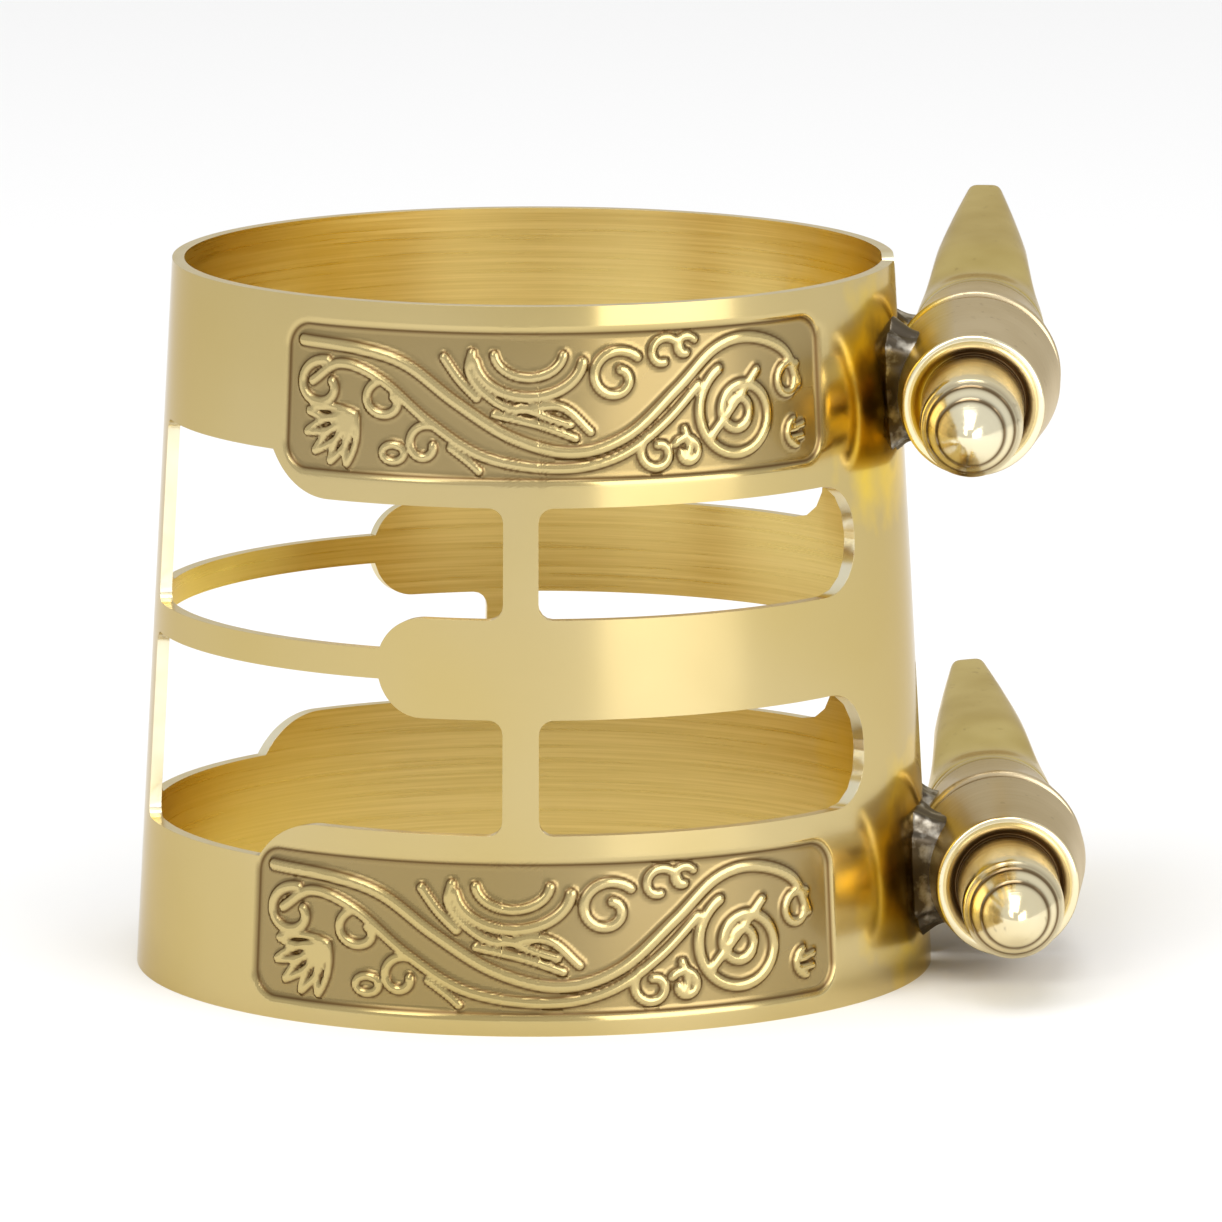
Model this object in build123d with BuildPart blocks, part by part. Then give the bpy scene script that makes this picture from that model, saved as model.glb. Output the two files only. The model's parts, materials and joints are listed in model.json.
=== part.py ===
"""Two-screw saxophone ligature, upright on its wide rim.

The origin is on the axis of the band at the wide rim. +Z runs along that axis to the narrow rim and
+X points at the gap where the two screws draw the band closed. Sizes are in millimetres.
"""

import math
import os

from build123d import *

# ---- band: one sheet rolled into a slightly conical ring
wide_radius = 15.0
narrow_radius = 13.5
height = 26.7
sheet = 0.45
gap = 1.0
gap_corner_radius = 0.8
pattern_turn = 2.5  # degrees that the window pattern sits round from the gap

# ---- window pattern: heights from the wide rim, angles in degrees round from the gap
lower_band_top = 7.35
lower_band_top_narrow = 5.9
middle_bottom = 11.6
middle_top = 15.25
strip_bottom = 12.95
strip_top = 14.05
upper_band_bottom = 19.35
upper_band_bottom_narrow = 20.95
spine_angle = 34.0
bridge_angle = 93.4
bridge_width = 1.3
middle_end_angle = 114.9
step_angle = 135.1
bar_width = 4.4
window_corner_radius = 0.55
spine_corner_radius = 1.9
middle_shoulder_radius = 1.75
step_shoulder_radius = 3.4

# ---- screws: one near each rim, across the gap
upper_screw_height = 22.1
lower_screw_height = 3.85
post_stand_off = 2.8  # from the band's outer face to the screws' axes
upper_splay = 2.1  # degrees that the upper thumb head leans away from the band
lower_splay = -1.7  # the lower head leans towards the band
upper_rise = 2.4  # degrees that the upper thumb head stands above its nut post
lower_rise = 0.8
lower_head_turn = 5.0  # degrees off upright, as a screw stops where it is tight
thread_radius = 1.25
thread_clearance = 0.13
post_clearance = 0.1
seat_clearance = 0.05

# ---- posts: turned barrels brazed to the two ends of the band
post_length = 5.1
post_radius = 3.2
post_end_radius = 2.65
post_edge_radius = 0.25
rim_width = 0.4
dish_depth = 0.5
nose_radius = 1.9
nose_length = 4.2
nose_step = 0.1
nose_shoulder = 0.15
tip_length = 2.1
tip_radius = 0.1
bore_depth = 9.0

# ---- thumb screw
collar_length = 0.8
collar_radius = 2.6
spade_length = 12.8
spade_height = 8.0
spade_thickness = 1.55
spade_corner_radius = 0.3
spade_mid_height = 6.5
spade_mid_thickness = 3.8
spade_mid_corner_radius = 1.3
spade_root_corner_radius = 2.5
shank_depth = 8.2  # from the middle of the gap into the nut post

# ---- braze that fills the wedge between a post and the band
braze_setback = 0.3  # from the edge of the gap
braze_length = 3.6
braze_width = 4.2
braze_height = 1.0
braze_corner_radius = 0.8

os.makedirs("parts", exist_ok=True)

mean_radius = (wide_radius + narrow_radius) / 2
wall_margin = 1.5  # how far a cutter runs past both faces of the sheet
overlap_turn = 0.5  # degrees that the filling of a stepped corner runs past the step
found_within = 0.3  # from a corner's expected place to the middle of its edge
touch = 0.01  # faces or edges closer than this lie in one plane
cutter_depth = abs(wide_radius - narrow_radius) + sheet + 2 * wall_margin
post_end = gap / 2 + post_length


def band_radius(z):
    """Outer radius of the band at a height above the wide rim."""
    return wide_radius + (narrow_radius - wide_radius) * z / height


def turn_of(length, z):
    """Angle in degrees that a length along the sheet takes round the axis at a height."""
    return math.degrees(length / band_radius(z))


def sector(start, end, low, high, mode=Mode.ADD):
    """Adds to the part being built a block through the wall, between two angles and two heights."""
    with BuildSketch(Plane.XZ.rotated((0, 0, start))) as section:
        with Locations((mean_radius, (low + high) / 2)):
            Rectangle(cutter_depth, high - low)
    revolve(section.sketch, axis=Axis.Z, revolution_arc=end - start, mode=mode)


def radial_edges(part, angle, z):
    """Edges of a cutter that run straight out from the axis at one angle and height."""
    lines = part.edges().filter_by(GeomType.LINE).filter_by(Axis.Z, reverse=True)
    spot = Vector(mean_radius, 0, z).rotate(Axis.Z, angle)
    return lines.filter_by(lambda line: (line.center() - spot).length < found_within)


def shoulder(angle, flat, rise, radius, mode=Mode.ADD):
    """Adds the corner left when an arc of the sheet rounds a step.

    The edge of the sheet leaves the height flat in an arc and reaches the height flat + rise at the angle.
    """
    run = math.sqrt(radius**2 - (radius - abs(rise)) ** 2)
    start = angle - turn_of(run, flat)
    centre_height = flat + math.copysign(radius, rise)
    with BuildPart(mode=Mode.PRIVATE) as corner:
        sector(start, angle + overlap_turn, min(flat, flat + rise), max(flat, flat + rise))
        direction = Vector(1, 0, 0).rotate(Axis.Z, start)
        with BuildSketch(Plane(origin=(0, 0, centre_height), z_dir=direction)):
            Circle(radius)
        extrude(amount=wide_radius + wall_margin, mode=Mode.SUBTRACT)
    add(corner.part, mode=mode)


bar_angle = 180 - turn_of(bar_width / 2, strip_top)
half_bridge = turn_of(bridge_width / 2, middle_top)

with BuildPart() as side_windows:
    for low, high in ((lower_band_top, middle_bottom), (middle_top, upper_band_bottom)):
        sector(spine_angle, bridge_angle - half_bridge, low, high)
        sector(bridge_angle + half_bridge, bar_angle, low, high)
    for angle, radius in (
        (spine_angle, spine_corner_radius),
        (bridge_angle - half_bridge, window_corner_radius),
        (bridge_angle + half_bridge, window_corner_radius),
    ):
        for z in (lower_band_top, middle_bottom, middle_top, upper_band_bottom):
            fillet(radial_edges(side_windows.part, angle, z), radius=radius)
    sector(step_angle, bar_angle, lower_band_top_narrow, middle_bottom)
    sector(step_angle, bar_angle, middle_top, upper_band_bottom_narrow)
    sector(middle_end_angle, bar_angle, lower_band_top, strip_bottom)
    sector(middle_end_angle, bar_angle, strip_top, upper_band_bottom)
    for z in (lower_band_top_narrow, strip_bottom, strip_top, upper_band_bottom_narrow):
        fillet(radial_edges(side_windows.part, bar_angle, z), radius=window_corner_radius)
    shoulder(middle_end_angle, middle_top, strip_top - middle_top, middle_shoulder_radius)
    shoulder(middle_end_angle, middle_bottom, strip_bottom - middle_bottom, middle_shoulder_radius)
    shoulder(
        step_angle, lower_band_top, lower_band_top_narrow - lower_band_top, step_shoulder_radius
    )
    shoulder(
        step_angle,
        upper_band_bottom,
        upper_band_bottom_narrow - upper_band_bottom,
        step_shoulder_radius,
    )

window_pattern = (side_windows.part + side_windows.part.mirror(Plane.XZ)).rotate(Axis.Z, pattern_turn)

with BuildPart() as gap_cutter:
    with BuildSketch(Plane.YZ.offset(band_radius(height) / 2)):
        with Locations((0, height / 2)):
            Rectangle(gap, 2 * height)
    extrude(amount=wide_radius)

with BuildPart() as band:
    with BuildSketch(Plane.XZ):
        with BuildLine():
            Polyline(
                (wide_radius, 0),
                (narrow_radius, height),
                (narrow_radius - sheet, height),
                (wide_radius - sheet, 0),
                close=True,
            )
        make_face()
    revolve(axis=Axis.Z)
    add(gap_cutter.part, mode=Mode.SUBTRACT)
    add(window_pattern, mode=Mode.SUBTRACT)
    end_edges = band.edges().filter_by(
        lambda edge: edge.length < 2 * sheet
        and abs(abs(edge.center().Y) - gap / 2) < touch
        and edge.center().X > 0
    )
    fillet(end_edges, radius=gap_corner_radius)
band.part.label = "band"

with BuildPart() as band_core:
    Cone(wide_radius, narrow_radius, height, align=(Align.CENTER, Align.CENTER, Align.MIN))


def screw_direction(splay, rise):
    """Direction along a screw, from its nut post to its thumb head."""
    return Vector(0, 1, 0).rotate(Axis.X, rise).rotate(Axis.Z, -splay)


def screw_middle(z):
    """Point where a screw's axis crosses the middle of the gap."""
    return Vector(band_radius(z) + post_stand_off, 0, z)


def screw_axis(z, along):
    return Axis(screw_middle(z), along)


def lathe_plane(z, along):
    """Sketch plane for a turned piece: X along the screw, from the middle of the gap, and Y out from it."""
    return Plane(origin=screw_middle(z), x_dir=along, z_dir=along.cross(Vector(0, 0, 1)).normalized())


def cross_plane(z, along, distance, turn=0):
    """Plane square to the screw at a distance from the middle of the gap, its X up the ligature."""
    upright = Vector(1, 0, 0).cross(along).normalized()
    up = upright.rotate(Axis((0, 0, 0), along), turn)
    return Plane(origin=screw_middle(z) + along * distance, x_dir=up, z_dir=along)


def nut_post(z, along):
    """Barrel with a blind threaded bore, closed by a bullet-shaped nose."""
    nose_end = post_end + nose_length
    bore_radius = thread_radius + thread_clearance
    dish_radius = post_end_radius - rim_width
    shoulder_radius = nose_radius - nose_step
    with BuildPart() as post:
        with BuildSketch(lathe_plane(z, along)):
            with BuildLine():
                Polyline(
                    (-gap / 2, bore_radius),
                    (-gap / 2, post_radius),
                    (-post_end, post_end_radius),
                    (-post_end, dish_radius),
                    (-post_end + dish_depth, nose_radius),
                    (-nose_end + nose_shoulder, nose_radius),
                    (-nose_end + nose_shoulder, shoulder_radius),
                    (-nose_end, shoulder_radius - nose_shoulder),
                    (-nose_end - tip_length, tip_radius),
                    (-nose_end - tip_length, 0),
                    (-bore_depth, 0),
                    (-bore_depth, bore_radius),
                    close=True,
                )
            make_face()
        revolve(axis=screw_axis(z, along))
        end_rims = post.edges().filter_by(GeomType.CIRCLE).group_by(SortBy.RADIUS)
        fillet(end_rims[-1], radius=post_edge_radius)
        add(band_core.part, mode=Mode.SUBTRACT)
    return post.part


def plain_post(z, along):
    """Barrel with a clear bore that the screw turns in."""
    bore_radius = thread_radius + post_clearance
    with BuildPart() as post:
        with BuildSketch(lathe_plane(z, along)):
            with BuildLine():
                Polyline(
                    (gap / 2, bore_radius),
                    (gap / 2, post_radius),
                    (post_end, post_end_radius),
                    (post_end, bore_radius),
                    close=True,
                )
            make_face()
        revolve(axis=screw_axis(z, along))
        end_rims = post.edges().filter_by(GeomType.CIRCLE).group_by(SortBy.RADIUS)
        fillet(end_rims[-1] + end_rims[-2], radius=post_edge_radius)
        add(band_core.part, mode=Mode.SUBTRACT)
    return post.part


def thumb_screw(z, along, turn):
    """Shank and collar with a head flattened to a spade."""
    seat = post_end + seat_clearance
    spade_start = seat + collar_length
    with BuildPart() as screw:
        with BuildSketch(cross_plane(z, along, -shank_depth)):
            Circle(thread_radius)
        extrude(amount=shank_depth + seat)
        with BuildSketch(cross_plane(z, along, seat)):
            Circle(collar_radius)
        extrude(amount=collar_length)
        sections = (
            (0, 2 * collar_radius, 2 * collar_radius, spade_root_corner_radius),
            (spade_length / 2, spade_mid_height, spade_mid_thickness, spade_mid_corner_radius),
            (spade_length, spade_height, spade_thickness, spade_corner_radius),
        )
        for distance, tall, thick, radius in sections:
            with BuildSketch(cross_plane(z, along, spade_start + distance, turn)):
                RectangleRounded(tall, thick, radius)
        loft()
    return screw.part


def braze(z, along, side):
    """Fillet of silver braze in the wedge between a post and the band; side is -1 for the nut post."""
    near_end = gap / 2 + braze_setback
    inner = math.sqrt(band_radius(z) ** 2 - (near_end + braze_length) ** 2) - sheet
    outer = screw_middle(z).X - post_radius + braze_height
    middle = side * (near_end + braze_length / 2)
    with BuildPart() as seam:
        with BuildSketch(Plane.YZ.offset(inner)):
            with Locations((middle, z)):
                RectangleRounded(braze_length, braze_width, braze_corner_radius)
        extrude(amount=outer - inner)
        add(band_core.part, mode=Mode.SUBTRACT)
        with BuildSketch(cross_plane(z, along, side * gap / 2)):
            Circle(post_radius)
        with BuildSketch(cross_plane(z, along, side * post_end)):
            Circle(post_end_radius)
        loft(mode=Mode.SUBTRACT)
    return seam.part


parts = {"band": band.part}
for name, z, along, turn in (
    ("upper", upper_screw_height, screw_direction(upper_splay, upper_rise), 0),
    ("lower", lower_screw_height, screw_direction(lower_splay, lower_rise), lower_head_turn),
):
    parts[f"nut_post_{name}"] = nut_post(z, along)
    parts[f"plain_post_{name}"] = plain_post(z, along)
    parts[f"thumb_screw_{name}"] = thumb_screw(z, along, turn)
    parts[f"nut_braze_{name}"] = braze(z, along, -1)
    parts[f"plain_braze_{name}"] = braze(z, along, 1)

for name, part in parts.items():
    part.label = name
    export_step(part, f"parts/{name}.step")
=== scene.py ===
# %% [markdown]
# # A saxophone ligature in lacquered brass
# A ligature is a springy ring that clamps a reed to a mouthpiece. This one is cut and embossed from one
# sheet of brass, rolled into a slight cone, and drawn closed by two thumb screws in barrels brazed beside
# its gap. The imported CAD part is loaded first. It fixes every place and size, and each new piece is built
# on it.

# %% Load the frame
import json
import math
import re

import bpy
import numpy as np
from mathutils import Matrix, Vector


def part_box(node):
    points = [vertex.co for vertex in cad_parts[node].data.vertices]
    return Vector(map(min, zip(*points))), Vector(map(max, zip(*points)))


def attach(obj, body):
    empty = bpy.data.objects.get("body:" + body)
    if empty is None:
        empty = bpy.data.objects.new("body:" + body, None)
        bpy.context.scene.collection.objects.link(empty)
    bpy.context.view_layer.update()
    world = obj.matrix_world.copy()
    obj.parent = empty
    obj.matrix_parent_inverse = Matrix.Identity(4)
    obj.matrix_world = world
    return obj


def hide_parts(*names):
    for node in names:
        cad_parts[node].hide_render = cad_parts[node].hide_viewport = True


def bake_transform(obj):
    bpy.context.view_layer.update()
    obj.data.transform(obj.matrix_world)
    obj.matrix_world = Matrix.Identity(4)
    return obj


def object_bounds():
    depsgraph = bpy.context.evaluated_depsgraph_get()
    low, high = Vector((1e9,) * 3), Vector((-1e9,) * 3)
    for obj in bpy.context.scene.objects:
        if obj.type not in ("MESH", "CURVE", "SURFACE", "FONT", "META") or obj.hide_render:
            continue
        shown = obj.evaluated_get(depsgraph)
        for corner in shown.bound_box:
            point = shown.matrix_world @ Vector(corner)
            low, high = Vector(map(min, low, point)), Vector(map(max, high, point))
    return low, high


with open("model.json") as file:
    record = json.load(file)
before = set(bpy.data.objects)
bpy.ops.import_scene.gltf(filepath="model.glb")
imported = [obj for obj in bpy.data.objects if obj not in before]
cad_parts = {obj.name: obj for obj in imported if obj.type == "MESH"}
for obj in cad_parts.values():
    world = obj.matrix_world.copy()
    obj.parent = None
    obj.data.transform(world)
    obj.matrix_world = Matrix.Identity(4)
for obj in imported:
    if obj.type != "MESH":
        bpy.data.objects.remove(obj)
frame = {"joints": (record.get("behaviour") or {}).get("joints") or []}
scene = bpy.context.scene
cad_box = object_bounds()
band_low, band_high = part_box("band")
print("CAD box in metres:", [list(corner) for corner in cad_box])

# %% [markdown]
# ## Small tools
# Every new piece is a surface worked out as whole arrays of points. These helpers turn such arrays into a
# mesh, make the faces of a grid, weld points that fall together, and store the flat map and the mark that
# the materials read.

# %% Meshes from arrays
MM = 0.001
WELD_DISTANCE = 0.00001 * MM


def mesh_piece(name, points, polygons, materials, slots=None):
    """A smooth-shaded object. slots gives each polygon's material number."""
    mesh = bpy.data.meshes.new(name)
    mesh.from_pydata(points.tolist(), [], polygons)
    mesh.polygons.foreach_set("use_smooth", np.ones(len(polygons), bool))
    if slots is not None:
        mesh.polygons.foreach_set("material_index", np.asarray(slots, np.int32))
    for material in materials:
        mesh.materials.append(material)
    mesh.validate()
    mesh.update()
    piece = bpy.data.objects.new(name, mesh)
    scene.collection.objects.link(piece)
    return piece


def grid_faces(rows, columns, wrap_rows=False, wrap_columns=False):
    """Quads of a grid whose points are numbered row by row; a wrapped direction closes on itself."""
    row = np.arange(rows if wrap_rows else rows - 1)
    column = np.arange(columns if wrap_columns else columns - 1)
    i, j = np.meshgrid(row, column, indexing="ij")
    next_i = (i + 1) % rows
    next_j = (j + 1) % columns
    corners = (i * columns + j, next_i * columns + j, next_i * columns + next_j, i * columns + next_j)
    return np.stack([corner.ravel() for corner in corners], axis=1)


def skin_piece(name, points, quads, materials, places, mark):
    """A piece from quads over points, with its map and mark; points that fall together become one."""
    keys = np.round(points / WELD_DISTANCE).astype(np.int64)
    _, first, joined = np.unique(keys, axis=0, return_index=True, return_inverse=True)
    faces = [list(dict.fromkeys(face)) for face in joined.reshape(-1)[quads].tolist()]
    piece = mesh_piece(name, points[first], [face for face in faces if len(face) > 2], materials)
    set_map(piece, places[first])
    set_mark(piece, mark[first])
    return piece


def set_mark(piece, values):
    """Stores one value per point, which the materials read as relief: 0 on the band's sunken ground or where
    a turned piece takes painted shade, 1 on an open face.
    """
    attribute = piece.data.attributes.new("relief", "FLOAT", "POINT")
    attribute.data.foreach_set("value", values.astype(np.float32))


def set_map(piece, places):
    """Stores a flat place per point as the piece's own map, in metres along and across the surface."""
    mesh = piece.data
    layer = mesh.uv_layers.new(name="Sheet")
    corner = np.zeros(len(mesh.loops), np.int32)
    mesh.loops.foreach_get("vertex_index", corner)
    layer.data.foreach_set("uv", places[corner].astype(np.float32).ravel())


def smooth_step(value):
    """0 below 0, 1 above 1, and an S curve between: 3 v^2 - 2 v^3."""
    v = np.clip(value, 0, 1)
    return v * v * (3 - 2 * v)


# %% [markdown]
# ## The band's outline
# The real band is stamped flat, so it is easiest to think of as a flat strip: lengths run along the sheet
# from the gap to the middle of the back, and heights run up from the wide rim. Both sides of the gap are
# alike. Each window is given by how high its lower and upper edges stand at every angle, so the grid's
# rows can follow those edges exactly, and the round corners come out smooth with few faces.

# %% Sizes of the band
height = band_high.z
wide_radius = -band_low.y
narrow_share = 0.9
narrow_radius = wide_radius * narrow_share
sheet = 0.45 * MM
half_gap = 0.5 * MM
gap_corner = 0.8 * MM
pattern_turn = 2.5

spine_angle = 34.0
bridge_angle = 93.4
bridge_width = 1.3 * MM
middle_end_angle = 114.9
step_angle = 135.1
bar_width = 4.4 * MM
window_corner = 0.55 * MM
spine_corner = 1.9 * MM
middle_shoulder = 1.75 * MM
step_shoulder = 3.4 * MM

lower_edge = 7.35 * MM
lower_edge_narrow = 5.9 * MM
middle_bottom = 11.6 * MM
strip_bottom = 12.95 * MM
strip_top = 14.05 * MM
middle_top = 15.25 * MM
upper_edge = 19.35 * MM
upper_edge_narrow = 20.95 * MM


def radius_at(z):
    """Outer radius of the cone: it falls evenly from the wide rim to the narrow rim."""
    return wide_radius + (narrow_radius - wide_radius) * z / height


def degrees_for(length, z=height / 2):
    """Angle that a length along the sheet takes at a height."""
    return np.degrees(length / radius_at(z))


half_bridge = degrees_for(bridge_width / 2, middle_top)
bar_angle = 180 - degrees_for(bar_width / 2, strip_top)
windows = (
    (spine_angle, bridge_angle - half_bridge, spine_corner, window_corner),
    (bridge_angle + half_bridge, bar_angle, window_corner, window_corner),
)

# %% [markdown]
# The columns of the grid stand closest where a corner turns fastest. A quarter circle of radius r that
# starts at a window's end has moved r(1 - cos a) along the sheet after turning by a, so columns at even
# steps of a are spaced just as the curve needs.

# %% Columns of the grid
PANEL_STEP = 0.10 * MM
PLAIN_STEP = 0.24 * MM
CORNER_STEPS = 8


def even_run(start, stop, step):
    """Angles from start up to stop, in an even number of steps no longer than a length along the sheet."""
    count = 2 * max(1, math.ceil((stop - start) / degrees_for(step) / 2))
    return np.linspace(start, stop, count + 1)[:-1]


def corner_run(start, radius, opening):
    """Angles through a round corner that starts (opening) or ends a window, closest at its upright side."""
    turn = np.linspace(0, math.pi / 2, CORNER_STEPS + 1)
    run = degrees_for(radius) * (1 - np.cos(turn))
    angles = start + run if opening else start - run[::-1]
    return angles[:-1]


def shoulder_start(angle, rise, radius, z):
    """Angle where the arc of a shoulder leaves the level edge: a chord's run is sqrt(r^2 - (r - rise)^2)."""
    return angle - degrees_for(math.sqrt(radius**2 - (radius - rise) ** 2), z)


middle_rise = middle_top - strip_top
step_rise = lower_edge - lower_edge_narrow
middle_start = shoulder_start(middle_end_angle, middle_rise, middle_shoulder, middle_top)
step_start = shoulder_start(step_angle, step_rise, step_shoulder, lower_edge)


def columns_from(gap_angle):
    """All column angles of one side, from the gap's edge to the middle of the back bar."""
    corner = degrees_for(window_corner)
    rounded = degrees_for(spine_corner)
    gap_end = gap_angle + degrees_for(gap_corner)
    runs = [
        corner_run(gap_angle, gap_corner, True),
        even_run(gap_end, spine_angle, PLAIN_STEP),
        corner_run(spine_angle, spine_corner, True),
        even_run(spine_angle + rounded, bridge_angle - half_bridge - corner, PANEL_STEP),
        corner_run(bridge_angle - half_bridge, window_corner, False),
        even_run(bridge_angle - half_bridge, bridge_angle + half_bridge, PANEL_STEP),
        corner_run(bridge_angle + half_bridge, window_corner, True),
        even_run(bridge_angle + half_bridge + corner, middle_start, PANEL_STEP),
        even_run(middle_start, middle_end_angle, PANEL_STEP),
        even_run(middle_end_angle, step_start, PANEL_STEP),
        even_run(step_start, step_angle, PANEL_STEP),
        even_run(step_angle, bar_angle - corner, PLAIN_STEP),
        corner_run(bar_angle, window_corner, False),
        even_run(bar_angle, 180, PLAIN_STEP),
        [180.0],
    ]
    return np.concatenate(runs)


# %% Heights of the window edges
def corner_rise(distance, radius):
    """Height that a round corner adds at a distance along the sheet from the window's end."""
    left = radius - np.clip(distance, 0, radius)
    return radius - np.sqrt(radius**2 - left**2)


def shoulder_rise(angle, start, end, rise, radius, z):
    """Height of a shoulder's arc past its start, held at its full rise after its end."""
    run = np.clip(np.radians(angle - start) * radius_at(z), 0, radius)
    arc = radius - np.sqrt(radius**2 - run**2)
    return np.where(angle >= end, rise, np.minimum(arc, rise))


FADE_RADII = 2.5


def corner_bumps(angle, z):
    """How far the corners push an edge into the windows; it fades evenly away where the sheet is whole."""
    bump = np.zeros_like(angle)
    for start, end, start_radius, end_radius in windows:
        for spot, sign, radius in ((start, 1, start_radius), (end, -1, end_radius)):
            distance = sign * np.radians(angle - spot) * radius_at(z)
            inside = corner_rise(distance, radius)
            outside = radius * np.clip(1 + distance / (FADE_RADII * radius), 0, 1)
            bump = np.maximum(bump, np.where(distance >= 0, inside, outside))
    return bump


def edge_heights(angle, gap_angle):
    """Six heights for each column: the wide rim, four window edges and the narrow rim."""
    step = shoulder_rise(angle, step_start, step_angle, step_rise, step_shoulder, lower_edge)
    step_up = step * (upper_edge_narrow - upper_edge) / step_rise
    middle = shoulder_rise(
        angle, middle_start, middle_end_angle, middle_rise, middle_shoulder, middle_top
    )
    middle_low = middle * (strip_bottom - middle_bottom) / middle_rise
    rim = corner_rise(np.radians(angle - gap_angle) * radius_at(0), gap_corner)
    rim_high = corner_rise(np.radians(angle - gap_angle) * radius_at(height), gap_corner)
    return (
        rim,
        lower_edge - step + corner_bumps(angle, lower_edge),
        middle_bottom + middle_low - corner_bumps(angle, middle_bottom),
        middle_top - middle + corner_bumps(angle, middle_top),
        upper_edge + step_up - corner_bumps(angle, upper_edge),
        height - rim_high,
    )


# %% [markdown]
# ## The scroll relief
# The two wide bands carry a stamped vine: raised lines on a sunken ground inside a rounded panel. It is
# drawn here as a handful of curves on a flat panel. Each point of the sheet then takes its height from
# its distance to the nearest curve, which gives every line the same soft round top that a worn die
# leaves.

# %% Curves of the vine
PANEL_LENGTH = 23.0
PANEL_HEIGHT = 5.8
PANEL_CORNER = 1.1
LEAF_BLUNTNESS = 0.8


def flowing(*corners, samples=160):
    """A smooth line through points: Catmull-Rom, a cubic whose slope at each point follows its neighbours."""
    p = np.array(corners, float)
    p = np.vstack([2 * p[0] - p[1], p, 2 * p[-1] - p[-2]])
    count = len(p) - 3
    t = np.linspace(0, count, samples, endpoint=False)
    k = t.astype(int)
    t = (t - k)[:, None]
    a, b, c, d = p[k], p[k + 1], p[k + 2], p[k + 3]
    squared = (2 * a - 5 * b + 4 * c - d) * t**2
    cubed = (3 * b - a - 3 * c + d) * t**3
    return 0.5 * (2 * b + (c - a) * t + squared + cubed)


def curl(x, y, start_radius, end_radius, start_turn, turns, flat=1.0, samples=110):
    """A spiral about a centre: its radius changes evenly as it turns. flat squeezes its height."""
    t = np.linspace(0, 1, samples)
    angle = 2 * math.pi * (start_turn + turns * t)
    radius = start_radius + (end_radius - start_radius) * t
    return np.stack([x + radius * np.cos(angle), y + flat * radius * np.sin(angle)], axis=1)


def leaf(x, y, turn, length, width, samples=60):
    """Outline of a leaf that starts at a point and grows in one direction: a sine out and back."""
    t = np.linspace(0, 1, samples)
    out = np.minimum(2 * t, 2 - 2 * t)
    side = np.where(t < 0.5, 1, -1) * width * np.sin(math.pi * out) ** LEAF_BLUNTNESS
    c = math.cos(2 * math.pi * turn)
    s = math.sin(2 * math.pi * turn)
    return np.stack([x + length * out * c - side * s, y + length * out * s + side * c], axis=1)


# Each curve comes with its half width. Places are in millimetres from the panel's lower left corner.
vine = [
    (0.23, flowing((0.8, 5.0), (3.4, 4.85), (5.4, 4.35), (7.4, 3.0), (9.6, 1.7), (11.9, 1.15), (14.0, 1.75),
                   (16.0, 3.4), (17.7, 4.85), (19.3, 5.15), (21.0, 4.5), (21.75, 3.1))),
    (0.20, flowing((1.3, 3.5), (2.6, 4.25), (4.4, 3.7), (6.4, 2.2), (8.6, 0.95), (11.4, 0.55), (13.6, 0.95),
                   (15.4, 2.1), (17.0, 3.6))),
    (0.22, curl(18.75, 2.35, 1.95, 0.45, 0.33, 1.55)),
    (0.20, curl(18.6, 2.5, 0.75, 0.3, 0.72, 0.7)),
    (0.20, flowing((17.4, 1.5), (18.4, 2.6), (19.6, 3.9))),
    (0.19, curl(21.2, 3.3, 0.75, 0.3, 0.15, 0.85)),
    (0.16, curl(21.55, 1.35, 0.5, 0.5, 0.30, 0.45)),
    (0.15, flowing((21.3, 1.45), (21.9, 1.6))),
    (0.15, flowing((21.3, 1.1), (21.85, 1.15))),
    (0.21, curl(1.75, 3.35, 1.15, 0.5, 0.22, 0.85, flat=0.85)),
    (0.19, curl(4.6, 2.95, 1.0, 0.35, 0.30, 0.8, flat=0.8)),
    (0.21, curl(10.2, 4.75, 2.1, 2.1, 0.52, 0.46, flat=0.72)),
    (0.18, curl(10.2, 4.95, 1.35, 1.35, 0.52, 0.46, flat=0.72)),
    (0.20, curl(13.6, 3.95, 1.15, 0.35, 0.12, 1.05, flat=0.95)),
    (0.18, curl(15.5, 4.75, 0.75, 0.3, 0.02, 0.75)),
    (0.17, curl(16.4, 4.95, 0.5, 0.2, 0.1, 0.7)),
    (0.19, curl(15.2, 1.05, 0.75, 0.3, 0.35, 0.9)),
    (0.18, curl(16.4, 1.0, 0.6, 0.25, 0.4, -0.9)),
    (0.17, flowing((16.3, 1.9), (16.5, 1.3), (16.4, 0.7))),
    (0.19, flowing((6.9, 4.7), (7.5, 3.9), (8.2, 3.2))),
    (0.18, flowing((8.0, 4.9), (7.9, 4.2), (8.5, 3.4), (9.6, 2.8), (11.4, 2.9), (12.6, 1.9))),
    (0.17, flowing((8.9, 2.6), (10.6, 2.2), (12.0, 1.7))),
    (0.16, flowing((9.9, 2.9), (10.9, 2.5), (11.8, 2.2))),
    (0.18, curl(6.2, 1.35, 0.8, 0.3, 0.2, 0.8)),
    (0.17, flowing((7.2, 1.3), (7.9, 0.8), (8.3, 0.45))),
    (0.16, curl(4.9, 1.0, 0.45, 0.45, 0.0, 1.0, flat=0.7)),
]

BLADES = 5
BLADE_TURN = 0.055
LONGEST_BLADE = 1.5
for blade in range(BLADES):
    blade_length = 2.5 - 0.22 * abs(blade - LONGEST_BLADE)
    vine.append((0.15, leaf(3.3, 2.35, 0.50 + BLADE_TURN * blade, blade_length, 0.22)))

# %% Height of the relief
RELIEF_DEPTH = 0.15 * MM
PANEL_SLOPE = 0.28
LINE_SPREAD = 1.45
LINE_RISE = 1.05
TINY = 1e-9

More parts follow.
